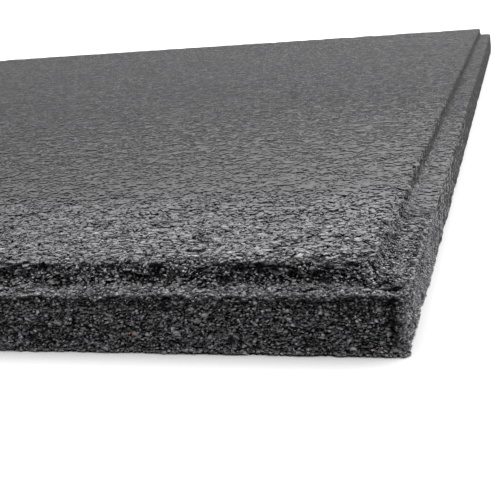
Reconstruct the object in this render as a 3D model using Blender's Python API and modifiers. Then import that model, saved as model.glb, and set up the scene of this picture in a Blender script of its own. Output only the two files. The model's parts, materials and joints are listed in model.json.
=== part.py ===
"""Rubber mat of bonded granulate: a square slab, moulded in one piece, with a rebate round its top.

Metres, +Z up. The origin is at the centre of the underside.
"""

import bmesh
import bpy

# Driving dimensions
SIDE = 1.000                # outer length and width
THICKNESS = 0.030           # floor to top face
REBATE_WIDTH = 0.012        # how far the ledge runs in from the side
REBATE_DEPTH = 0.008        # how far the ledge lies below the top face
CORNER_RADIUS = 0.003       # upright corners of the slab and of the raised field
EDGE_RADIUS = 0.0010        # soft moulded edges

# Worked out from them
LEDGE_HEIGHT = THICKNESS - REBATE_DEPTH
FIELD_SIDE = SIDE - 2 * REBATE_WIDTH
OVERLAP = 0.010             # how far the raised field reaches down into the slab

CORNER_STEPS = 6            # flats round an upright corner
EDGE_STEPS = 3              # flats across a soft edge
EDGE_ANGLE = 0.7            # radians: edges sharper than this are rounded


def clear_scene():
    for obj in list(bpy.data.objects):
        bpy.data.objects.remove(obj, do_unlink=True)


def new_collection(name):
    collection = bpy.data.collections.new(name)
    bpy.context.scene.collection.children.link(collection)
    return collection


def rubber_material():
    material = bpy.data.materials.new("black_granulate_rubber")
    material.use_nodes = True
    shader = material.node_tree.nodes["Principled BSDF"]
    shader.inputs["Base Color"].default_value = (0.040, 0.039, 0.042, 1.0)
    shader.inputs["Roughness"].default_value = 0.62
    shader.inputs["Metallic"].default_value = 0.0
    return material


def rounded_block(name, collection, side, low, high):
    """A square block from height low to height high, with its four upright edges rounded."""
    mesh = bpy.data.meshes.new(name)
    shape = bmesh.new()
    bmesh.ops.create_cube(shape, size=1.0)
    bmesh.ops.scale(shape, vec=(side, side, high - low), verts=shape.verts)
    bmesh.ops.translate(shape, vec=(0.0, 0.0, (low + high) / 2), verts=shape.verts)
    upright = [edge for edge in shape.edges if abs(edge.verts[0].co.z - edge.verts[1].co.z) > OVERLAP / 2]
    bmesh.ops.bevel(
        shape,
        geom=upright,
        offset=CORNER_RADIUS,
        segments=CORNER_STEPS,
        profile=0.5,
        affect="EDGES",
    )
    shape.to_mesh(mesh)
    shape.free()
    block = bpy.data.objects.new(name, mesh)
    collection.objects.link(block)
    return block


def make_mat(parts, helpers):
    """The slab up to the ledge, joined with the raised field, and its edges softened."""
    mat = rounded_block("rubber_mat", parts, SIDE, 0.0, LEDGE_HEIGHT)
    mat.data.materials.append(rubber_material())

    field = rounded_block("raised_field", helpers, FIELD_SIDE, LEDGE_HEIGHT - OVERLAP, THICKNESS)
    field.hide_render = True
    field.display_type = "WIRE"

    join = mat.modifiers.new("raised_field", "BOOLEAN")
    join.operation = "UNION"
    join.solver = "EXACT"
    join.object = field

    soften = mat.modifiers.new("soft_edges", "BEVEL")
    soften.width = EDGE_RADIUS
    soften.segments = EDGE_STEPS
    soften.limit_method = "ANGLE"
    soften.angle_limit = EDGE_ANGLE
    return mat


def main():
    clear_scene()
    parts = new_collection("rubber_mat_tile")
    helpers = new_collection("helpers")
    make_mat(parts, helpers)


main()
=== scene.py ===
"""Looks of a rubber mat of bonded granulate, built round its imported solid.

One closed skin takes the solid's place, with its crumbs as bump. Round the photographed corner real crumbs
of rubber are bonded to it, which thin out and soften further away.
"""

import json
import math
from typing import NamedTuple

import bmesh
import bpy
import numpy as np
from mathutils import Matrix, Vector, noise


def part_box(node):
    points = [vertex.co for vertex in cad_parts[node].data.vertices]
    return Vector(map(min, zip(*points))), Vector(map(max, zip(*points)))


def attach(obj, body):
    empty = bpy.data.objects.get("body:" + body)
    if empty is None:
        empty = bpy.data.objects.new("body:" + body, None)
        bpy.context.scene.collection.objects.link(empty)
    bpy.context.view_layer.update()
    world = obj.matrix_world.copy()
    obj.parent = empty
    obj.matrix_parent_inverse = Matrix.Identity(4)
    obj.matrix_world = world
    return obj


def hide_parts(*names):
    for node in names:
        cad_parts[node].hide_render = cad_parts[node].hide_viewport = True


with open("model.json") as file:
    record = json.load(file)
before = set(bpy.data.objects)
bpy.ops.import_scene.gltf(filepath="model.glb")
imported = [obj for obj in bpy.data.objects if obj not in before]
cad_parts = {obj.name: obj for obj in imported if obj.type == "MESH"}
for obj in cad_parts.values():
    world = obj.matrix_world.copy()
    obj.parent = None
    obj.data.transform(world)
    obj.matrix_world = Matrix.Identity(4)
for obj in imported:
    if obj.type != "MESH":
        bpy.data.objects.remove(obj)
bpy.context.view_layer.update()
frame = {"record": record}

MM = 0.001
TINY = 1e-9                 # keeps a divisor above zero
WHITE = (1.0, 1.0, 1.0)

# The mat's sizes, from the frame
MAT_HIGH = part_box("rubber_mat")[1]
MOUNTS = {mount["name"]: mount for mount in frame["record"]["mounts"]}
HALF = MAT_HIGH.x
TOP = MAT_HIGH.z
LEDGE = MOUNTS["ledge_front"]["pos_m"][2]
LEDGE_WIDTH = 2 * (HALF + MOUNTS["ledge_front"]["pos_m"][1])
FIELD_HALF = HALF - LEDGE_WIDTH
CORNER = Vector((HALF, -HALF, 0.0))

# Runs from the middle over the top and down, by which the flat layout of the skin is measured
RISER_FOOT = FIELD_HALF + TOP - LEDGE
LEDGE_EDGE = RISER_FOOT + LEDGE_WIDTH
SIDE_FOOT = LEDGE_EDGE + LEDGE

# Camera: where it stands, seen from the near corner on the floor, and how it is turned
CAMERA_FROM_CORNER = Vector((33.9, -295.1, 122.2)) * MM
CAMERA_YAW = math.radians(15.80)
CAMERA_PITCH = math.radians(15.60)
CAMERA_ROLL = math.radians(4.95)
CAMERA_DISTANCE = CAMERA_FROM_CORNER.length
LENS = 72.0
SENSOR = 36.0
CAMERA_CLIP = (0.01, 100.0)

# Light: a soft surround, bright from a little above the horizon up, lowest behind the mat
SURROUND = 0.4
BRIGHTEST = 6.5
LIGHT_TILT = (0.25, 0.25, 0.94)
LIGHT_EDGE = (0.3, 0.85)    # how far along that direction the brightness starts and is full
FLOOR_TONE = 0.325
FLOOR_ROUGHNESS = 0.9
FLOOR_REACH = 120.0

# Soft edges of the bare form
EDGE_SOFTNESS = 1.0 * MM
FOOT_SOFTNESS = 2.4 * MM    # where the riser meets the ledge
FOOT_SPREAD = 1.5           # how far round it the form is so soft, beside that length
SOFTENING_STEPS = 9
CORNER_RADIUS = 4.0 * MM
CORNER_FADE = 10 * MM       # how far inside the field's edge that radius starts
LEAST_RADIUS = 0.001 * MM   # and what it is further in

# Spans of the skin's points
FIELD_CELLS = 28            # across the field, before they are halved
CELL_STEPS = 4096           # whole steps across a cell, which halving divides
FINEST = 1.6 * MM
COARSENING = 2.5            # the power by which the span grows with the distance from the camera
OUTSIDE_COARSENING = 0.2    # how much it grows for each metre out of view
RIM_SPAN = 4.5 * MM
RIM_MARGIN = 3 * MM         # so far inside a rim, the span is still RIM_SPAN at most
RIM_COARSENING = 0.5        # and grows so much for each metre further in
UNDERSIDE_SPAN = 3 * MM
COARSEST = 20 * MM

# How far the skin lies below the bare form
BARE_DEPTH = 0.15 * MM
CRUMBED_DEPTH = 2.0 * MM    # under crumbs

# Swells of the skin and wear of its edges
SWELL = 1.0 * MM
SWELL_SIZE = 11 * MM
SWELL_BIAS = 0.15           # above zero, more than half of the mat lies lower
TOP_EDGE_WEAR = 2.8 * MM
LEDGE_EDGE_WEAR = 1.6 * MM
EDGE_REACH = 8 * MM         # how far from an edge its wear starts
WEAR_SIZE = 18 * MM
FINE_WEAR_SIZE = WEAR_SIZE / 4
WEAR_BIAS = 0.15
WEAR = 1.4
FINE_WEAR = 1.9

# Pits of the riser, the ledge and the sides
PIT_DEPTH = 1.1 * MM
PIT_SIZE = 3.2 * MM
PITTED = 2.5                # how steeply they deepen

# Long crevices between layers of crumbs
CRACK_DEPTH = 1.8 * MM
CRACK_SIZE = 14 * MM
CRACK_WIDTH = 0.08          # in the noise that draws them
CRACK_STRETCH = (0.6, 1.5, 1.5)
CRACKED = 5.0               # how steeply they open
CRACK_BIAS = 0.2
RISER_CRACKED = 2.0         # how much more open they are along the riser

# The pressed foot of the sides
FOOT_HEIGHT = 2.5 * MM      # up to here they get smoother towards the floor
FOOT_ROUGHNESS = 0.6        # how rough they still are at the floor

# Shifts of the noises, so that none repeats another
SWELL_SHIFT = 3.0
WEAR_SHIFT = 11.0
FINE_WEAR_SHIFT = 19.0
CRACK_SHIFT = 23.0
PIT_SHIFT = 29.0
CRACKED_SHIFT = 41.0

# Dents at the near corner, and one lump: place from the corner, reach and depth, in millimetres
DENTS = (
    ((-7.0, 9.0, 22.0), (3.2, 3.2, 5.0), 6.0),
    ((-9.0, 19.0, 22.0), (3.4, 5.0, 4.0), -3.0),
    ((-6.2, 0.0, 12.0), (1.5, 2.0, 8.0), 3.5),
    ((0.0, 0.0, 22.0), (4.0, 5.0, 3.5), 1.8),
    ((-12.0, 12.0, 30.0), (4.5, 5.0, 4.0), 2.5),
    ((0.0, 6.0, 8.0), (3.0, 4.0, 3.0), 0.9),
)

# Where the real crumbs lie, from the near corner
SEEN_WIDTH = 136 * MM       # what the camera sees of the front side
VIEW_SPREAD = 0.57          # how much more of the top it sees to the left, for each metre back
LEFT_FADE = 45 * MM         # over how long a stretch to the left of that they thin out
NEAR_LENGTH = 105 * MM      # how far back the finer ones lie
CRUMBED_LENGTH = 120 * MM   # how far back they cover the skin fully
CRUMBED_FADE = 280 * MM     # over how long a stretch behind that they thin out
GRIT_LENGTH = 70 * MM       # how far back the grit between them lies
CRISP_LENGTH = (45 * MM, 125 * MM)  # how far back their relief starts to soften, and is softest
SOFTEST = 0.16              # beside 1 at the near corner

# How far apart crumbs lie, along a side and across it
TOP_STEP = (1.48 * MM, 1.48 * MM)
FAR_STEP = (1.9 * MM, 2.2 * MM)
SIDE_STEP = (1.1 * MM, 0.55 * MM)
GRIT_STEP = (1.1 * MM, 0.9 * MM)

# Sizes of the crumbs, beside the near ones of the top
FAR_SCALE = 1.5
SIDE_SCALE = 0.9
GRIT_SCALE = 0.5
FLECK_SCALE = 0.5

# Shapes of the crumbs
CRUMB_LENGTH = 2.0 * MM
CRUMB_SPREAD = 0.4          # of the logarithm of their length
LONGEST = 2.2               # beside CRUMB_LENGTH
CRUMB_WIDTH = (0.5, 0.9)    # beside their own length, from and to
KNOBBLY = (0.5, 1.4)        # how far their points lie from their middle, beside a smooth crumb's

# How crumbs are bonded to the skin
PROUD_PRESS = 0.2           # how much of a proud crumb is pressed flush
UNEVEN_POWER = 2.5          # above 1, few crumbs lie far behind
ROOT_STRETCH = 2.0          # how much deeper they reach down than up
EDGE_STRETCH = 0.8          # and within EDGE_STUB of an edge, where their lower halves show
EDGE_STUB = 1.5 * MM


class Lay(NamedTuple):
    """How a group of crumbs lies and looks. A share of them, proud, stands out from the others."""

    tilt: float             # their disorder
    flat: tuple             # their thickness beside their length, from and to
    press: float            # how much of one is pressed flush with the face
    uneven: float           # how far one lies behind another
    proud: float = 0.0      # the share that stands out
    proud_by: float = 0.0   # how far it does
    slant: float = 0.0      # how far it turns towards the face, in radians
    light: float = 0.0      # painted light: how much lighter they are on upright faces, which get less light
    shades: float = 1.0     # how much they differ in lightness
    smooth: bool = False    # whether they are shaded smooth
    dull: bool = False      # whether they shine as little as the skin


TOP_LAY = Lay(tilt=0.14, flat=(0.3, 0.6), press=1.2, uneven=1.1 * MM, proud=0.1, proud_by=0.15 * MM)
FAR_LAY = Lay(tilt=0.08, flat=(0.3, 0.6), press=1.8, uneven=0.8 * MM, shades=0.7, dull=True)
# light: painted light on the crumbs of upright faces
FAR_SIDE_LAY = FAR_LAY._replace(light=0.4)
SIDE_LAY = Lay(
    tilt=0.22, flat=(0.2, 0.45), press=0.1, uneven=1.2 * MM,
    proud=0.25, proud_by=0.4 * MM, slant=0.5, light=0.65, smooth=True,
)
RISER_LAY = Lay(
    tilt=0.35, flat=(0.25, 0.5), press=0.15, uneven=1.8 * MM,
    proud=0.5, proud_by=0.6 * MM, slant=0.4, light=2.1, shades=0.6, smooth=True,
)
FLECK_LAY = Lay(tilt=0.3, flat=(0.3, 0.6), press=0.5, uneven=0.0, proud=1.0, slant=0.3, shades=0.0)

# Crumbs of other rubber: distances from the near corner in millimetres, and their colour beside black
YELLOW = (5.0, 4.2, 1.6)
ORANGE = (6.0, 3.0, 1.5)
BROWN = (3.5, 2.6, 1.8)
RED = (7.0, 1.4, 0.8)
BLUE = (0.9, 1.7, 3.2)
TAN = (3.2, 2.5, 1.9)
TOP_FLECKS = (
    (-33.0, 120.6, YELLOW),
    (-91.2, 110.1, ORANGE),
    (-30.8, 67.4, BROWN),
    (-41.1, 22.1, TAN),
    (-64.0, 203.0, BROWN),
)
FRONT_FLECKS = (
    (-94.5, 7.5, RED),
    (-92.7, 7.1, RED),
    (-90.6, 12.9, BLUE),
    (-48.7, 7.3, TAN),
    (-12.3, 2.7, TAN),
)

# Crumbs shown by bump, in millimetres
CRUMB = 2.0
CRUMB_SHIFT = (3.0, 5.0, 7.0)
CRUMB_RAGGED = 0.75
CRUMB_STEP = 0.5            # how much deeper one crumb lies than another
CRUMB_LEAN = 0.6            # height across a leaning crumb
SMALL_CRUMB = 0.9
SMALL_CRUMB_SHIFT = (11.0, 2.0, 17.0)
SMALL_CRUMB_RAGGED = 0.9
SMALL_CRUMB_STEP = 0.12
SMALL_CRUMB_LEAN = 0.30
CRUMB_FLATNESS = 1.7        # crumbs lie flat: this much lower than wide
CRUMB_WANDER = 0.8          # size of the noise that makes their borders ragged, beside a crumb
GAPE_SIZE = 3.1             # of the patches where crevices gape

# Torn ridges and torn grain of the crumbs, in millimetres
RIDGE_SIZE = 1.1
RIDGE_STRETCH = (1.0, 1.0, 1.5)
RIDGE_WIDTH = 0.035         # in the noise that draws them
RIDGE_HEIGHT = 0.3
RIDGED_SIZE = 2.6           # of the patches that have ridges
TORN_SIZE = 0.55
TORN_DEPTH = 0.35

# Ramps: a value's start and end, and what it becomes there
GAPE = (0.38, 0.62, 0.15, 0.5)              # crevices' depth in millimetres, from their patches' noise
CREVICE = (0.0, 0.10, 1.0, 0.0)             # share of that depth, from the distance to a crumb's border
SMALL_CREVICE = (0.0, 0.12, 0.16, 0.0)      # depth in millimetres at the small crumbs' borders
# Painted shade in the crevices of the large and the small crumbs shown by bump, from the distance to their
# borders
CREVICE_PAINTED_SHADE = (0.03, 0.10, 0.08, 1.0)
SMALL_CREVICE_PAINTED_SHADE = (0.0, 0.08, 0.4, 1.0)
CREVICE_ROUGHNESS = (0.02, 0.09, 0.5, 0.0)
RIDGED = (0.4, 0.62, 0.15, 1.0)             # how strong the ridges are, from the noise of their patches
SKIN_SHADE = (0.1, 0.9, 0.2, 1.5)           # from a crumb's random number
SKIN_ROUGHNESS = (0.35, 0.65, 0.45, 0.8)
UPRIGHT_PAINTED_SHADE = (0.2, 0.8, 0.5, 1.0)        # painted shade of the skin's upright faces, from how far a face points up
COVERED_PAINTED_SHADE = (0.0, 1.0, 2.1, 0.4)        # painted shade of the skin under crumbs, from how fully they cover it; bare skin is lighter
DEEP_PAINTED_SHADE = (0.0, 1.0, 1.4, 0.1)           # painted shade, from how deep a point of a crumb lies
DEEP_ROUGHNESS = (0.0, 1.0, 0.5, 1.0)

# Colour and shine of the rubber
RUBBER = (0.0530, 0.0520, 0.0545)
SHINE_TINT = (1.0, 0.97, 1.02)
REFLECTANCE = 0.24          # specular level of the crumbs
DULL_REFLECTANCE = 0.14     # and of the skin and the dull crumbs
DULL_SHADE = 1.3            # how light the dull crumbs are beside the others
GLOSS_SIZE = 4.0            # of patches of one roughness on the skin, in millimetres
GLOSS_SPREAD = 0.2          # how much the roughness of its crumbs differs

# How light the rubber is, with its painted light and shade
SKIN_LIGHTNESS = 0.6
SOFT_LIGHTNESS = 0.47       # of crumbs without relief, painted darker for the shade that relief would give
CRISP_LIGHTNESS = 0.34      # how much lighter crisp ones are
RIDGE_DUST_AND_HIGHLIGHT = 2.5       # and how much lighter torn ridges are: painted highlights, partly dust
OWN_LIGHTNESS = 0.75        # of the darkest crumbs
LIGHTER = 1.35              # how much lighter a crumb is whose tone is 1
PROUD_TONE = 0.3            # how much lighter a proud crumb's tone is
TONE_POWER = 3              # above 1, few crumbs are light
LIT_DEPTH = 3 * MM          # so far below the top, crumbs of upright faces get their painted light in full
LEVEL_TONE = 0.9            # how much less painted light the crumbs of the level ledge get
PAINTED_SHADE_DEPTH = 0.9 * MM      # below its top, a crumb is darkest in its painted shade

# Painted shade: seen flat, from 0 straight on to 1 edge on, level faces are painted darker, as crumbs hide
# what lies between them
GRAZING_START = 0.72
DULL_GRAZING_START = 0.68
GRAZING_END = 0.86
GRAZING_PAINTED_SHADE = 0.34


def profile(run):
    """Distance from the middle and height, at a run outwards over the top, down the side and back under."""
    runs = np.cumsum([0.0, FIELD_HALF, TOP - LEDGE, LEDGE_WIDTH, LEDGE, HALF])
    out = [0.0, FIELD_HALF, FIELD_HALF, HALF, HALF, 0.0]
    up = [TOP, TOP, LEDGE, LEDGE, 0.0, 0.0]
    return np.interp(run, runs, out), np.interp(run, runs, up)


def soft_profile(run):
    """The profile averaged over a short run, which rounds its edges, with its outward direction."""
    from_foot = np.abs(run - RISER_FOOT) / FOOT_SOFTNESS
    softness = EDGE_SOFTNESS + (FOOT_SOFTNESS - EDGE_SOFTNESS) * np.clip(FOOT_SPREAD - from_foot, 0, 1)
    points = np.array([profile(run + offset * softness) for offset in np.linspace(-1, 1, SOFTENING_STEPS)])
    out, up = points.mean(axis=0)
    before, after = points[:2].mean(axis=0), points[-2:].mean(axis=0)
    along = after - before
    length = np.maximum(np.hypot(*along), TINY)
    return out, up, -along[1] / length, along[0] / length


def form(u, v, underside):
    """Places and outward directions of flat coordinates u and v, in which the mat's skin is laid out."""
    ring = np.maximum(np.maximum(np.abs(u), np.abs(v)), TINY)
    run = np.where(underside, SIDE_FOOT + (SIDE_FOOT - ring) * HALF / SIDE_FOOT, ring)
    out, up, normal_out, normal_up = soft_profile(run)
    wide = np.abs(u) >= np.abs(v)
    across = np.where(wide, np.abs(v), np.abs(u)) / ring * out
    near_rim = np.clip(1 - np.maximum(FIELD_HALF - out, 0) / CORNER_FADE, 0, 1)
    radius = np.maximum(CORNER_RADIUS * near_rim, LEAST_RADIUS)
    turn = np.clip((across - (out - radius)) / radius, 0, 1) * math.pi / 4
    major = np.where(turn > 0, out - radius + radius * np.cos(turn), out)
    minor = np.where(turn > 0, out - radius + radius * np.sin(turn), across)
    x_sign, y_sign = np.where(u < 0, -1, 1), np.where(v < 0, -1, 1)
    x, y = np.where(wide, major, minor) * x_sign, np.where(wide, minor, major) * y_sign
    to_major, to_minor = np.cos(turn) * normal_out, np.sin(turn) * normal_out
    nx, ny = np.where(wide, to_major, to_minor) * x_sign, np.where(wide, to_minor, to_major) * y_sign
    return np.stack([x, y, up], axis=1), np.stack([nx, ny, normal_up], axis=1)


def left_end(behind):
    """How far to the left the camera sees the mat, at a distance back from its front side."""
    return HALF - SEEN_WIDTH - VIEW_SPREAD * behind


def out_of_view(points):
    """How far points lie to the left of what the camera sees."""
    return np.maximum(left_end(points[:, 1] + HALF) - points[:, 0], 0)


def rim_of(points):
    """How far out points lie from the middle, towards the nearest side."""
    return np.maximum(np.abs(points[:, 0]), np.abs(points[:, 1]))


def crumbed_at(points):
    """How fully real crumbs cover the skin there, from 0 to 1."""
    past = (points[:, 1] + HALF - CRUMBED_LENGTH) / CRUMBED_FADE
    return np.clip(1 - np.maximum(past, out_of_view(points) / LEFT_FADE), 0, 1)


def crispness_at(points):
    """How crisp the relief is there, from SOFTEST far behind the near corner to 1 beside it."""
    return np.interp(points[:, 1] + HALF, CRISP_LENGTH, (1, SOFTEST))


def foot_at(points):
    """How rough the side is there: less towards the floor."""
    return np.interp(points[:, 2], (0, FOOT_HEIGHT), (FOOT_ROUGHNESS, 1))


def noise_at(points, size, shift):
    """Smooth noise about zero, with lumps of that size."""
    return np.array([noise.noise(place) for place in (points / size + shift).tolist()])


def cracks_at(points):
    """Depth of the long crevices, which lie level and come and go."""
    course = np.abs(noise_at(points * CRACK_STRETCH, CRACK_SIZE, CRACK_SHIFT))
    by_riser = np.clip(1 - np.abs(rim_of(points) - FIELD_HALF) / EDGE_REACH, 0, 1)
    patches = CRACKED * noise_at(points, CRACK_SIZE, CRACKED_SHIFT)
    open_here = np.clip(patches + CRACK_BIAS + RISER_CRACKED * by_riser, 0, 1)
    return CRACK_DEPTH * np.clip(1 - course / CRACK_WIDTH, 0, 1) * open_here


def edge_wear_at(points, flat):
    """How far the top's and the ledge's worn edges lie below the bare form."""
    ring = rim_of(flat)
    by_top = np.clip(1 - np.abs(ring - FIELD_HALF) / EDGE_REACH, 0, 1)
    by_ledge = np.clip(1 - np.abs(ring - LEDGE_EDGE) / EDGE_REACH, 0, 1)
    most = np.maximum(TOP_EDGE_WEAR * by_top, LEDGE_EDGE_WEAR * by_ledge)
    worn = WEAR * noise_at(points, WEAR_SIZE, WEAR_SHIFT)
    worn += FINE_WEAR * noise_at(points, FINE_WEAR_SIZE, FINE_WEAR_SHIFT)
    return most * np.clip(WEAR_BIAS + worn, 0, 1)


def pits_at(points, flat):
    """Depth of the pits there, which start at the top's edge and go on outwards and down."""
    past_edge = np.clip((rim_of(flat) - FIELD_HALF) / PIT_SIZE + 1, 0, 1)
    return PIT_DEPTH * past_edge * np.clip(PITTED * noise_at(points, PIT_SIZE, PIT_SHIFT), 0, 1)


def dents_at(points):
    """How far the dents lower the form there."""
    lowered = np.zeros(len(points))
    for centre, reach, depth in DENTS:
        away = ((points - CORNER) / MM - centre) / reach
        lowered += depth * MM * np.exp(-(away ** 2).sum(axis=1))
    return lowered


def unevenness(points, flat):
    """How far the worn form lies below the bare one."""
    swell = SWELL * np.clip(SWELL_BIAS + noise_at(points, SWELL_SIZE, SWELL_SHIFT), 0, 1)
    crisp = crispness_at(points) * (edge_wear_at(points, flat) + pits_at(points, flat))
    return swell + crisp + dents_at(points)


def span_at(points, underside):
    """How far apart the skin's points lie there."""
    behind = points[:, 1] + HALF
    from_rim = np.maximum(np.where(underside, HALF, FIELD_HALF) - RIM_MARGIN - rim_of(points), 0)
    span = FINEST * (1 + behind / CAMERA_DISTANCE) ** COARSENING + out_of_view(points) * OUTSIDE_COARSENING
    span = np.where(underside, np.maximum(span, UNDERSIDE_SPAN) + from_rim, span)
    return np.minimum(np.minimum(span, RIM_SPAN + from_rim * RIM_COARSENING), COARSEST)


def grid_lines():
    """Where the flat layout's main lines run: at each edge of the profile, and evenly over the field."""
    field = np.linspace(-FIELD_HALF, FIELD_HALF, FIELD_CELLS + 1)
    rim = np.array([RISER_FOOT, LEDGE_EDGE, SIDE_FOOT])
    return np.concatenate([-rim[::-1], field, rim])


def halved(cells, axis):
    """Cells cut in two across an axis: all their lower halves, then the upper ones."""
    middle = (cells[:, axis] + cells[:, axis + 2]) // 2
    lower, upper = cells.copy(), cells.copy()
    lower[:, axis + 2] = middle
    upper[:, axis] = middle
    return np.concatenate([lower, upper])


def split_cells(lines):
    """Halves cells, in whole steps of the layout, until each is as small as span_at asks."""
    count = len(lines) - 1
    marks = np.arange(count + 1) * CELL_STEPS
    low = np.array([(i, j) for i in range(count) for j in range(count)]) * CELL_STEPS
    sheets = [np.column_stack([low, low + CELL_STEPS, np.full(len(low), sheet)]) for sheet in (0, 1)]
    cells = np.concatenate(sheets)
    done = []
    while len(cells):
        edges = np.interp(cells[:, :4], marks, lines)
        under = cells[:, 4] == 1
        size = (edges[:, 2:] - edges[:, :2]) * np.where(under, HALF / SIDE_FOOT, 1)[:, None]
        middle = (edges[:, 2:] + edges[:, :2]) / 2
        places, _ = form(middle[:, 0], middle[:, 1], under)
        wanted = size > span_at(places, under)[:, None]
        mirrored = marks[-1] - cells[:, [3, 1]]
        slanting = (cells[:, 0] == cells[:, 1]) | (cells[:, 0] == mirrored[:, 0])
        wanted[slanting] = wanted[slanting].any(axis=1)[:, None]
        live = wanted.any(axis=1)
        done.append(cells[~live])
        cells, wanted = cells[live], wanted[live]
        for axis in (0, 1):
            cut = wanted[:, axis]
            cells = np.concatenate([cells[~cut], halved(cells[cut], axis)])
            wanted = np.concatenate([wanted[~cut], wanted[cut], wanted[cut]])
    return np.concatenate(done), marks


def points_between(known, sheet, start, end):
    """Known points strictly between two ends of a cell's edge, in order."""
    middle = ((start[0] + end[0]) // 2, (start[1] + end[1]) // 2)
    if middle == start or middle == end or (sheet, *middle) not in known:
        return []
    return [*points_between(known, sheet, start, middle), middle, *points_between(known, sheet, middle, end)]


def skin_mesh():
    """The points and faces of the mat's closed skin, and how fully crumbs cover it at each point."""
    lines = grid_lines()
    cells, marks = split_cells(lines)
    last = int(marks[-1])
    numbers, order = {}, []

    def number(sheet, point):
        """A point's number. The upper and the lower sheet share the points on their rim."""
        on_rim = point[0] in (0, last) or point[1] in (0, last)
        key = (0 if on_rim else sheet, *point)
        if key not in numbers:
            numbers[key] = len(order)
            order.append(key)
        if on_rim:
            numbers[(1, *point)] = numbers[key]
        return numbers[key]

    rings = []
    for u0, v0, u1, v1, sheet in cells.tolist():
        ring = [(u0, v0), (u1, v0), (u1, v1), (u0, v1)]
        rings.append((sheet, ring))
        for point in ring:
            number(sheet, point)
    faces = []
    for sheet, ring in rings:
        outline = []
        for start, end in zip(ring, ring[1:] + ring[:1]):
            outline.append(start)
            outline.extend(points_between(numbers, sheet, start, end))
        ids = [number(sheet, point) for point in outline]
        slanting = ring[0][0] == ring[0][1] or ring[0][0] == last - ring[2][1]
        if len(ids) > 4 or slanting:
            middle = ((ring[0][0] + ring[2][0]) // 2, (ring[0][1] + ring[2][1]) // 2)
            centre = number(sheet, middle)
            made = [(ids[i], ids[(i + 1) % len(ids)], centre) for i in range(len(ids))]
        else:
            made = [tuple(ids)]
        faces.extend([face[::-1] for face in made] if sheet else made)

    keys = np.array(order)
    under = keys[:, 0] == 1
    flat = np.interp(keys[:, 1:], marks, lines)
    places, outward = form(flat[:, 0], flat[:, 1], under)
    covered = crumbed_at(places) * crispness_at(places)
    below = BARE_DEPTH + (CRUMBED_DEPTH - BARE_DEPTH) * covered + unevenness(places, flat)
    below *= np.where(under, 0, foot_at(places))
    return places - outward * below[:, None], faces, covered


class Graph:
    """Adds nodes to a material's or the world's tree. A value is a number, a tuple or a node's socket."""

    def __init__(self, tree):
        self.tree = tree

    def node(self, kind, values=(), **settings):
        made = self.tree.nodes.new(kind)
        for name, setting in settings.items():
            setattr(made, name, setting)
        for key, value in dict(values).items():
            self.feed(made.inputs[key], value)
        return made

    def feed(self, socket, value):
        if isinstance(value, bpy.types.NodeSocket):
            self.tree.links.new(value, socket)
        else:
            socket.default_value = value

    def math(self, operation, *values):
        return self.node("ShaderNodeMath", enumerate(values), operation=operation).outputs[0]

    def total(self, *values):
        result = values[0]
        for value in values[1:]:
            result = self.math("ADD", result, value)
        return result

    def product(self, *values):
        result = values[0]
        for value in values[1:]:
            result = self.math("MULTIPLY", result, value)
        return result

    def vector(self, operation, *values):
        made = self.node("ShaderNodeVectorMath", enumerate(values), operation=operation)
        return made.outputs["Value" if operation == "DOT_PRODUCT" else "Vector"]

    def ramp(self, value, start, end, at_start, at_end):
        """value, from start to end, eased into a number from at_start to at_end."""
        given = {"Value": value, "From Min": start, "From Max": end, "To Min": at_start, "To Max": at_end}
        return self.node("ShaderNodeMapRange", given, interpolation_type="SMOOTHSTEP").outputs[0]

    def noise(self, place, size, detail=2.0, stretch=(1, 1, 1)):
        """Smooth noise whose lumps are about size millimetres: its value and its colour."""
        scaled = self.vector("MULTIPLY", place, tuple(factor / size for factor in stretch))
        given = {"Vector": scaled, "Scale": 1.0, "Detail": detail}
        made = self.node("ShaderNodeTexNoise", given, noise_dimensions="3D")
        return made.outputs[0], made.outputs[1]

    def axes(self, vector):
        return self.node("ShaderNodeSeparateXYZ", {0: vector}).outputs

    def attribute(self, name, output="Fac"):
        return self.node("ShaderNodeAttribute", attribute_name=name).outputs[output]


def shown_crumbs(graph, place, size, shift, ragged):
    """Irregular bonded crumbs of a size in millimetres, for bump and colour.

    Gives each crumb's lean, three random numbers, and the distance to its border in crumb sizes.
    """
    flat = (1 / size, 1 / size, CRUMB_FLATNESS / size)
    cell = graph.vector("ADD", graph.vector("MULTIPLY", place, flat), shift)
    wander = graph.noise(cell, CRUMB_WANDER, detail=3.0)[1]
    wander = graph.vector("SUBTRACT", wander, (0.5, 0.5, 0.5))
    cell = graph.vector("MULTIPLY_ADD", wander, (ragged, ragged, ragged), cell)
    nearest = graph.node("ShaderNodeTexVoronoi", {"Vector": cell, "Scale": 1.0}, feature="F1")
    border = graph.node("ShaderNodeTexVoronoi", {"Vector": cell, "Scale": 1.0}, feature="DISTANCE_TO_EDGE")
    from_middle = graph.vector("SUBTRACT", cell, nearest.outputs["Position"])
    slant = graph.vector("SUBTRACT", nearest.outputs["Color"], (0.5, 0.5, 0.5))
    lean = graph.vector("DOT_PRODUCT", from_middle, slant)
    return lean, graph.axes(nearest.outputs["Color"]), border.outputs["Distance"]


def rubber(name, reflectance):
    """A black rubber material with its graph, its shader and the place in millimetres."""
    material = bpy.data.materials.new(name)
    material.use_nodes = True
    graph = Graph(material.node_tree)
    shader = material.node_tree.nodes["Principled BSDF"]
    shader.inputs["Specular IOR Level"].default_value = reflectance
    shader.inputs["Specular Tint"].default_value = (*SHINE_TINT, 1.0)
    place = graph.vector("MULTIPLY", graph.node("ShaderNodeTexCoord").outputs["Object"], (1 / MM,) * 3)
    return material, graph, shader, place


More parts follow.
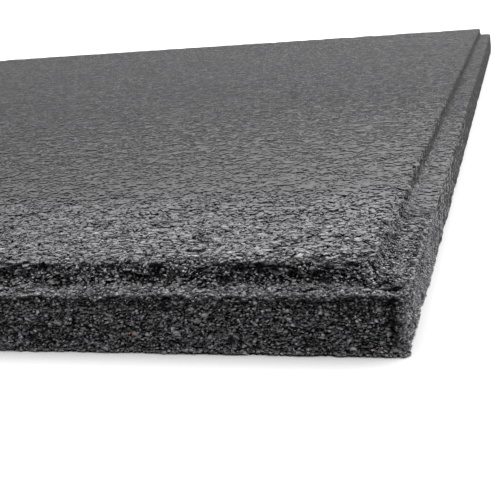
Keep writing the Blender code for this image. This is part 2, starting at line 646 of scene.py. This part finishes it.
def torn_ridges(graph, place):
    """Fine ridges of torn rubber, from 0 between them to 1 along them, in patches."""
    course = graph.noise(place, RIDGE_SIZE, stretch=RIDGE_STRETCH)[0]
    off = graph.math("ABSOLUTE", graph.math("SUBTRACT", course, 0.5))
    patches = graph.ramp(graph.noise(place, RIDGED_SIZE)[0], *RIDGED)
    return graph.product(graph.ramp(off, 0.0, RIDGE_WIDTH, 1.0, 0.0), patches)


def set_bump(graph, shader, depth):
    """Bump from a depth in millimetres."""
    given = {"Height": graph.product(depth, -1.0), "Distance": MM, "Strength": 1.0}
    graph.feed(shader.inputs["Normal"], graph.node("ShaderNodeBump", given).outputs["Normal"])


def set_colour(graph, shader, shade, tint=WHITE):
    """The rubber's colour, made lighter or darker by shade and coloured by tint."""
    colour = graph.node("ShaderNodeVectorMath", {0: RUBBER, "Scale": shade}, operation="SCALE").outputs[0]
    graph.feed(shader.inputs["Base Color"], graph.vector("MULTIPLY", colour, tint))


def painted_grazing_shade(graph, start, given=()):
    """Painted shade: how much darker the rubber is painted where it is seen flat."""
    facing = graph.node("ShaderNodeLayerWeight", {"Blend": 0.5, **dict(given)}).outputs["Facing"]
    return graph.ramp(facing, start, GRAZING_END, 1.0, GRAZING_PAINTED_SHADE)


def skin_material():
    """Bonded crumbs in bump: satin, of slightly different blacks, with painted shade in crevices, under
    crumbs, on upright faces and where seen flat, and painted highlights, partly dust, on torn ridges.
    """
    material, graph, shader, place = rubber("granulate_skin", DULL_REFLECTANCE)
    lean, random, border = shown_crumbs(graph, place, CRUMB, CRUMB_SHIFT, CRUMB_RAGGED)
    small = shown_crumbs(graph, place, SMALL_CRUMB, SMALL_CRUMB_SHIFT, SMALL_CRUMB_RAGGED)
    small_lean, small_random, small_border = small
    gape = graph.ramp(graph.noise(place, GAPE_SIZE)[0], *GAPE)
    depth = graph.total(
        graph.product(random[0], CRUMB_STEP),
        graph.product(lean, -CRUMB_LEAN),
        graph.product(graph.ramp(border, *CREVICE), gape),
        graph.product(small_random[0], SMALL_CRUMB_STEP),
        graph.product(small_lean, -SMALL_CRUMB_LEAN),
        graph.ramp(small_border, *SMALL_CREVICE),
    )
    set_bump(graph, shader, depth)

    tone = graph.total(graph.product(random[1], 0.5), graph.product(small_random[1], 0.5))
    # painted shade in the crevices
    in_crevice = graph.ramp(border, *CREVICE_PAINTED_SHADE)
    in_small_crevice = graph.ramp(small_border, *SMALL_CREVICE_PAINTED_SHADE)
    painted_crevice_shade = graph.math("MINIMUM", in_crevice, in_small_crevice)
    # painted highlights, partly dust, along torn ridges
    lightness = graph.math("MULTIPLY_ADD", torn_ridges(graph, place), RIDGE_DUST_AND_HIGHLIGHT, SKIN_LIGHTNESS)
    # painted shade on upright faces
    up = graph.axes(graph.node("ShaderNodeNewGeometry").outputs["Normal"])[2]
    upright = graph.ramp(up, *UPRIGHT_PAINTED_SHADE)
    # painted shade under the crumbs
    covered = graph.ramp(graph.attribute("covered"), *COVERED_PAINTED_SHADE)
    # painted shade where seen flat
    grazing = painted_grazing_shade(graph, GRAZING_START)
    own = graph.ramp(tone, *SKIN_SHADE)
    set_colour(graph, shader, graph.product(own, painted_crevice_shade, lightness, covered, grazing, upright))

    patches = graph.ramp(graph.noise(place, GLOSS_SIZE, detail=3.0)[0], *SKIN_ROUGHNESS)
    roughness = graph.math("MULTIPLY_ADD", small_random[2], GLOSS_SPREAD, patches)
    roughness = graph.total(roughness, graph.ramp(border, *CREVICE_ROUGHNESS))
    graph.feed(shader.inputs["Roughness"], graph.math("MINIMUM", roughness, 1.0))
    return material


def crumb_material(dull):
    """Real crumbs: each of its own black, finely torn. Dull ones shine less and are lighter. Painted shade
    darkens their deep points, soft ones and level ones seen flat; painted light lightens those of upright
    faces; painted highlights, partly dust, light their torn ridges.
    """
    reflectance, light = (DULL_REFLECTANCE, DULL_SHADE) if dull else (REFLECTANCE, 1.0)
    material, graph, shader, place = rubber("granulate_crumbs", reflectance)
    crisp = graph.attribute("crisp")
    ridges = graph.product(torn_ridges(graph, place), crisp)
    torn = graph.product(graph.noise(place, TORN_SIZE, detail=3.0)[0], crisp, -TORN_DEPTH)
    set_bump(graph, shader, graph.total(torn, graph.product(ridges, -RIDGE_HEIGHT)))

    # soft crumbs are painted darker, for the shade of the relief they lack
    base = graph.math("MULTIPLY_ADD", crisp, CRISP_LIGHTNESS, SOFT_LIGHTNESS)
    # painted highlights, partly dust, along torn ridges
    lightness = graph.math("MULTIPLY_ADD", ridges, RIDGE_DUST_AND_HIGHLIGHT, base)
    # painted shade on level crumbs seen flat
    upward = graph.node("ShaderNodeCombineXYZ", {"Z": 1.0}).outputs[0]
    start = DULL_GRAZING_START if dull else GRAZING_START
    darkened = graph.math("SUBTRACT", painted_grazing_shade(graph, start, {"Normal": upward}), 1.0)
    grazing = graph.math("MULTIPLY_ADD", graph.attribute("level"), darkened, 1.0)
    # painted shade at the deep points of each crumb
    deep = graph.attribute("deep")
    shade = graph.ramp(deep, *DEEP_PAINTED_SHADE)
    # tone holds each crumb's own black and the painted light of upright faces
    own = graph.math("MULTIPLY_ADD", graph.attribute("tone"), LIGHTER, OWN_LIGHTNESS)
    tint = graph.attribute("tint", "Vector")
    set_colour(graph, shader, graph.product(own, lightness, shade, grazing, light), tint)
    graph.feed(shader.inputs["Roughness"], graph.ramp(deep, *DEEP_ROUGHNESS))
    return material


def add_piece(name, points, faces, material):
    mesh = bpy.data.meshes.new(name)
    mesh.from_pydata(points.tolist(), [], faces)
    mesh.materials.append(material)
    piece = bpy.data.objects.new(name, mesh)
    bpy.context.scene.collection.objects.link(piece)
    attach(piece, "root")
    triangles = sum(len(face) - 2 for face in faces)
    print(name, len(points), "points", triangles, "triangles")
    return piece


def add_attribute(mesh, name, values):
    """A number, or a vector, for each point of a mesh, which its material reads."""
    vectors = values.ndim == 2
    attribute = mesh.attributes.new(name, "FLOAT_VECTOR" if vectors else "FLOAT", "POINT")
    attribute.data.foreach_set("vector" if vectors else "value", values.astype(np.float32).ravel())


def make_skin():
    points, faces, covered = skin_mesh()
    skin = add_piece("granulate_mat", points, faces, skin_material())
    add_attribute(skin.data, "covered", covered)
    skin.data.shade_smooth()
    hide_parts("rubber_mat")


def pebble():
    """Points and faces of the ball that the near crumbs of the top are shaped from."""
    shape = bmesh.new()
    bmesh.ops.create_icosphere(shape, subdivisions=1, radius=0.5)
    points = np.array([vert.co for vert in shape.verts])
    faces = np.array([[vert.index for vert in face.verts] for face in shape.faces])
    shape.free()
    return points, faces


def shard():
    """Points and faces of the eight-sided body that the other crumbs are shaped from."""
    points = np.array([(1, 0, 0), (0, 1, 0), (-1, 0, 0), (0, -1, 0), (0, 0, 1), (0, 0, -1)]) / 2
    faces = [(i, (i + 1) % 4, 4) for i in range(4)] + [((i + 1) % 4, i, 5) for i in range(4)]
    return points, np.array(faces)


def scatter(random, low, high, steps):
    """Places of the flat layout between two of its corners, on a jittered grid."""
    columns, rows = (max(1, round((high[i] - low[i]) / steps[i])) for i in (0, 1))
    grid = np.stack(np.meshgrid(np.arange(columns), np.arange(rows)), axis=-1).reshape(-1, 2)
    grid = (grid + random.uniform(0, 1, grid.shape)) / (columns, rows)
    return low + grid * (np.array(high) - low)


def own_shapes(random, ball, scale, lay, count):
    """The ball's points for each crumb, in its own size and shape."""
    length = scale * CRUMB_LENGTH * np.minimum(np.exp(random.normal(0, CRUMB_SPREAD, count)), LONGEST)
    width = random.uniform(*CRUMB_WIDTH, count)
    thickness = random.uniform(*lay.flat, count)
    size = length[:, None] * np.column_stack([np.ones(count), width, thickness])
    return ball * random.uniform(*KNOBBLY, (count, len(ball), 1)) * size[:, None, :]


def turned(random, level, tilt):
    """Turns that lay each crumb flat under the direction level, with random tilt and spin."""
    level = level + random.normal(0, tilt, level.shape)
    level /= np.linalg.norm(level, axis=1)[:, None]
    first = np.cross(level, random.normal(0, 1, level.shape))
    first /= np.linalg.norm(first, axis=1)[:, None]
    return np.stack([first, np.cross(level, first), level], axis=-1)


def laid(random, shapes, outward, lay, proud):
    """Crumbs laid level, as the mat was pressed, with the proud ones turned towards the face."""
    slant = np.where(proud, lay.slant, 0)[:, None]
    level = np.cos(slant) * (0, 0, 1) + np.sin(slant) * outward
    return np.einsum("nij,nkj->nki", turned(random, level, lay.tilt), shapes)


def root_stretch_at(flat):
    """How much deeper crumbs reach down than up there."""
    ring = rim_of(flat)
    from_edge = np.minimum(np.abs(ring - FIELD_HALF), np.abs(ring - LEDGE_EDGE))
    return np.interp(from_edge, (EDGE_STUB, 2 * EDGE_STUB), (EDGE_STRETCH, ROOT_STRETCH))


def bonded(random, shapes, flat, places, outward, lay, proud):
    """How far outwards each point of the crumbs moves, and how far below its crumb's top it then lies."""
    height = np.einsum("nki,ni->nk", shapes, outward)
    reach = height.max(axis=1)
    rough, crisp = foot_at(places), crispness_at(places)
    behind = lay.uneven * random.uniform(0, 1, len(flat)) ** UNEVEN_POWER
    behind = crisp * (np.where(proud, 0, lay.proud_by) + behind)
    sunk = rough * (unevenness(places, flat) + behind + crisp * cracks_at(places))
    press = np.where(proud, PROUD_PRESS, lay.press) + 1 - rough
    raised = press * random.uniform(0, 1, len(flat)) * reach - sunk - reach
    rooted = np.where(height < 0, height * root_stretch_at(flat)[:, None], height)
    flush = np.minimum(rooted + raised[:, None], -sunk[:, None])
    moved = crisp[:, None] * (flush + sunk[:, None]) - sunk[:, None] - height
    below_top = (height + moved).max(axis=1)[:, None] - height - moved + behind[:, None] / 2
    return moved, below_top


def own_tones(random, places, outward, lay, proud):
    """How light each crumb is: at random, more where it is proud, and more on upright faces, as painted
    light.
    """
    # painted light on upright faces, less on the level ledge
    upright = np.clip((TOP - places[:, 2]) / LIT_DEPTH, 0, 1) * (1 - LEVEL_TONE * outward[:, 2])
    tone = lay.shades * random.uniform(0, 1, len(places)) ** TONE_POWER + np.where(proud, PROUD_TONE, 0)
    return lay.light * upright + crispness_at(places) * tone


def make_crumbs(name, random, body, flat, scale, lay, tints=WHITE):
    """Crumbs bonded at places of the flat layout, as far as real crumbs cover it."""
    places, outward = form(flat[:, 0], flat[:, 1], np.zeros(len(flat), bool))
    kept = random.uniform(0, 1, len(flat)) < crumbed_at(places)
    flat, places, outward = flat[kept], places[kept], outward[kept]
    count = len(flat)
    ball, ball_faces = body
    shapes = own_shapes(random, ball, scale, lay, count)
    proud = random.uniform(0, 1, count) < lay.proud
    shapes = laid(random, shapes, outward, lay, proud)
    moved, below_top = bonded(random, shapes, flat, places, outward, lay, proud)
    points = shapes + places[:, None, :] + outward[:, None, :] * moved[..., None]
    points = np.clip(points.reshape(-1, 3), (-HALF, -HALF, 0.0), (HALF, HALF, TOP))
    faces = (ball_faces[None] + (np.arange(count) * len(ball))[:, None, None]).reshape(-1, 3)
    piece = add_piece(name, points, faces.tolist(), crumb_material(lay.dull))
    if lay.smooth:
        piece.data.shade_smooth()

    crisp = crispness_at(places)
    looks = {
        "tone": own_tones(random, places, outward, lay, proud),
        "crisp": crisp,
        "level": np.clip(outward[:, 2], 0, 1),
        "tint": np.broadcast_to(tints, (count, 3)),
    }
    for look, values in looks.items():
        add_attribute(piece.data, look, np.repeat(values, len(ball), axis=0))
    # how deep each point lies below its crumb's top, for painted shade and roughness
    deep = crisp[:, None] * np.clip(below_top / PAINTED_SHADE_DEPTH, 0, 1)
    add_attribute(piece.data, "deep", deep.ravel())


def make_coloured_crumbs(random):
    """The few crumbs of other rubber that show."""
    flat = [(HALF + x * MM, -HALF + y * MM) for x, y, _ in TOP_FLECKS]
    for x, z, _ in FRONT_FLECKS:
        ring = SIDE_FOOT - z * MM
        flat.append(((HALF + x * MM) * ring / HALF, -ring))
    tints = [colour for *_, colour in TOP_FLECKS + FRONT_FLECKS]
    make_crumbs("coloured_crumbs", random, pebble(), np.array(flat), FLECK_SCALE, FLECK_LAY, np.array(tints))


def make_all_crumbs():
    """Crumbs and grit, over what the camera sees and a little further to the left."""
    random = np.random.default_rng(7)
    near, gritty = NEAR_LENGTH - HALF, GRIT_LENGTH - HALF
    far_length = CRUMBED_LENGTH + CRUMBED_FADE
    far = far_length - HALF
    lengths = (0.0, GRIT_LENGTH, NEAR_LENGTH, far_length)
    left_front, left_grit, left_near, left_far = (left_end(length) - LEFT_FADE for length in lengths)

    near_top = scatter(random, (left_near, -FIELD_HALF), (FIELD_HALF, near), TOP_STEP)
    far_top = scatter(random, (left_far, near), (FIELD_HALF, far), FAR_STEP)
    front_riser = scatter(random, (left_front, -RISER_FOOT), (RISER_FOOT, -FIELD_HALF), SIDE_STEP)
    right_riser = scatter(random, (FIELD_HALF, -FIELD_HALF), (RISER_FOOT, near), SIDE_STEP[::-1])
    front = scatter(random, (left_front, -SIDE_FOOT), (SIDE_FOOT, -RISER_FOOT), SIDE_STEP)
    near_right = scatter(random, (RISER_FOOT, -RISER_FOOT), (SIDE_FOOT, near), SIDE_STEP[::-1])
    far_right = scatter(random, (FIELD_HALF, near), (SIDE_FOOT, far), FAR_STEP)
    top_grit = scatter(random, (left_grit, -FIELD_HALF), (FIELD_HALF, gritty), GRIT_STEP)
    front_grit = scatter(random, (left_front, -SIDE_FOOT), (SIDE_FOOT, -FIELD_HALF), GRIT_STEP)
    right_grit = scatter(random, (FIELD_HALF, -FIELD_HALF), (SIDE_FOOT, gritty), GRIT_STEP[::-1])
    right = np.concatenate([right_riser, near_right])
    side_grit = np.concatenate([front_grit, right_grit])

    make_crumbs("near_top_crumbs", random, pebble(), near_top, 1.0, TOP_LAY)
    make_crumbs("far_top_crumbs", random, shard(), far_top, FAR_SCALE, FAR_LAY)
    make_crumbs("far_right_crumbs", random, shard(), far_right, FAR_SCALE, FAR_SIDE_LAY)
    make_crumbs("riser_crumbs", random, shard(), front_riser, SIDE_SCALE, RISER_LAY)
    make_crumbs("front_crumbs", random, shard(), front, SIDE_SCALE, SIDE_LAY)
    make_crumbs("right_crumbs", random, shard(), right, SIDE_SCALE, SIDE_LAY)
    make_coloured_crumbs(random)
    make_crumbs("top_grit", random, shard(), top_grit, GRIT_SCALE, TOP_LAY)
    make_crumbs("side_grit", random, shard(), side_grit, GRIT_SCALE, SIDE_LAY)


def floor_material():
    material = bpy.data.materials.new("pale_floor")
    material.use_nodes = True
    shader = material.node_tree.nodes["Principled BSDF"]
    shader.inputs["Base Color"].default_value = (FLOOR_TONE, FLOOR_TONE, FLOOR_TONE, 1.0)
    shader.inputs["Roughness"].default_value = FLOOR_ROUGHNESS
    return material


def make_floor():
    mesh = bpy.data.meshes.new("floor")
    corners = [(-1, -1), (1, -1), (1, 1), (-1, 1)]
    mesh.from_pydata([(x * FLOOR_REACH, y * FLOOR_REACH, 0.0) for x, y in corners], [], [(0, 1, 2, 3)])
    mesh.materials.append(floor_material())
    floor = bpy.data.objects.new("floor", mesh)
    bpy.context.scene.collection.objects.link(floor)


def make_light():
    """A soft white surround, dim near the horizon and bright above."""
    world = bpy.data.worlds.new("studio")
    world.use_nodes = True
    graph = Graph(world.node_tree)
    background = world.node_tree.nodes["Background"]
    background.inputs["Color"].default_value = (*WHITE, 1.0)
    direction = graph.node("ShaderNodeTexCoord").outputs["Generated"]
    height = graph.vector("DOT_PRODUCT", direction, LIGHT_TILT)
    graph.feed(background.inputs["Strength"], graph.ramp(height, *LIGHT_EDGE, SURROUND, BRIGHTEST))
    bpy.context.scene.world = world


def make_camera():
    """The camera at the photograph's viewing angle."""
    right = Vector((math.cos(CAMERA_YAW), math.sin(CAMERA_YAW), 0.0))
    level = Vector((-math.sin(CAMERA_YAW), math.cos(CAMERA_YAW), 0.0))
    ahead = level * math.cos(CAMERA_PITCH) - Vector((0.0, 0.0, math.sin(CAMERA_PITCH)))
    up = right.cross(ahead)
    roll = Matrix.Rotation(CAMERA_ROLL, 3, ahead)
    turn = Matrix((roll @ right, roll @ up, -ahead)).transposed()
    data = bpy.data.cameras.new("camera")
    data.lens = LENS
    data.sensor_width = SENSOR
    data.clip_start, data.clip_end = CAMERA_CLIP
    camera = bpy.data.objects.new("camera", data)
    camera.matrix_world = Matrix.LocRotScale(CORNER + CAMERA_FROM_CORNER, turn.to_quaternion(), None)
    bpy.context.scene.collection.objects.link(camera)
    bpy.context.scene.camera = camera


make_camera()
make_light()
make_floor()
make_skin()
make_all_crumbs()

bpy.context.scene.view_settings.view_transform = "Standard"
bpy.context.view_layer.update()
